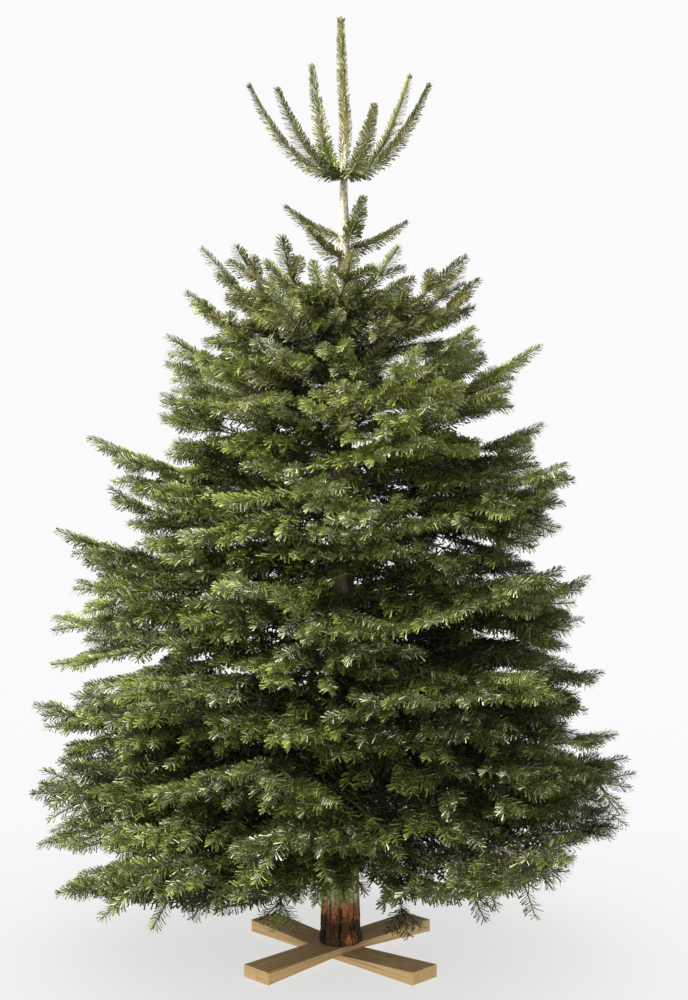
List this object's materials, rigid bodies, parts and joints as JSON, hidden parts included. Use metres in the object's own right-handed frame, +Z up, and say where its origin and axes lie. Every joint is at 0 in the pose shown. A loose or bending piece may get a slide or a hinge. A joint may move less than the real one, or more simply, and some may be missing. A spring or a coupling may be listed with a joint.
{
  "type": "christmas tree",
  "caption": "Cut fir tree with tiered boughs in full needle and upright shoots round a bare leader, standing on a plain half-lapped wooden cross.",
  "frame": {"origin": "middle of the wooden cross's flat underside, below the trunk's axis", "axes": "+Z up along the trunk, +X to the viewer's right, -Y towards the viewer of the tree's front"},
  "size_m": [1.3932, 1.4128, 2.0283],
  "materials": {
    "bark": "rough brown bark, torn orange-brown near the foot and pale grey-cream on the young stem",
    "bough_bark": "grey-brown bough bark, finely wrinkled",
    "needles": "deep green flat needles, waxy and slightly glossy, paler underneath",
    "young_needles": "yellow-green young needles over orange-brown twigs, waxy",
    "stand_wood": "sawn pale softwood, untreated",
    "screw_zinc": "bright zinc plating"
  },
  "bodies": {
    "root": {"trunk": "bark", "top_shoot_1": "young_needles", "top_shoot_2": "young_needles", "top_shoot_3": "young_needles", "top_shoot_4": "young_needles", "top_shoot_5": "young_needles", "top_shoot_6": "young_needles", "stem_shoot_1": "young_needles", "stem_shoot_2": "young_needles", "stem_shoot_3": "young_needles", "stem_shoot_4": "young_needles", "row2_foliage_1": "needles", "row2_foliage_2": "needles", "row2_foliage_3": "needles", "row2_foliage_4": "needles", "row2_foliage_5": "needles", "row3_foliage_1": "needles", "row3_foliage_2": "needles", "row3_foliage_3": "needles", "row3_foliage_4": "needles", "row3_foliage_5": "needles", "row4_foliage_1": "needles", "row4_foliage_2": "needles", "row4_foliage_3": "needles", "row4_foliage_4": "needles", "row4_foliage_5": "needles", "row5_foliage_1": "needles", "row5_foliage_2": "needles", "row5_foliage_3": "needles", "row5_foliage_4": "needles", "row5_foliage_5": "needles", "row6_foliage_1": "needles", "row6_foliage_2": "needles", "row6_foliage_3": "needles", "row6_foliage_4": "needles", "row6_foliage_5": "needles", "row7_bough_1": "bough_bark", "row7_foliage_1": "needles", "row7_bough_2": "bough_bark", "row7_foliage_2": "needles", "row7_bough_3": "bough_bark", "row7_foliage_3": "needles", "row7_bough_4": "bough_bark", "row7_foliage_4": "needles", "row7_bough_5": "bough_bark", "row7_foliage_5": "needles", "row8_bough_1": "bough_bark", "row8_foliage_1": "needles", "row8_bough_2": "bough_bark", "row8_foliage_2": "needles", "row8_bough_3": "bough_bark", "row8_foliage_3": "needles", "row8_bough_4": "bough_bark", "row8_foliage_4": "needles", "row8_bough_5": "bough_bark", "row8_foliage_5": "needles", "stand_lower_board": "stand_wood", "stand_upper_board": "stand_wood", "stand_screw_1": "screw_zinc", "stand_screw_2": "screw_zinc"}
  },
  "joints": []
}
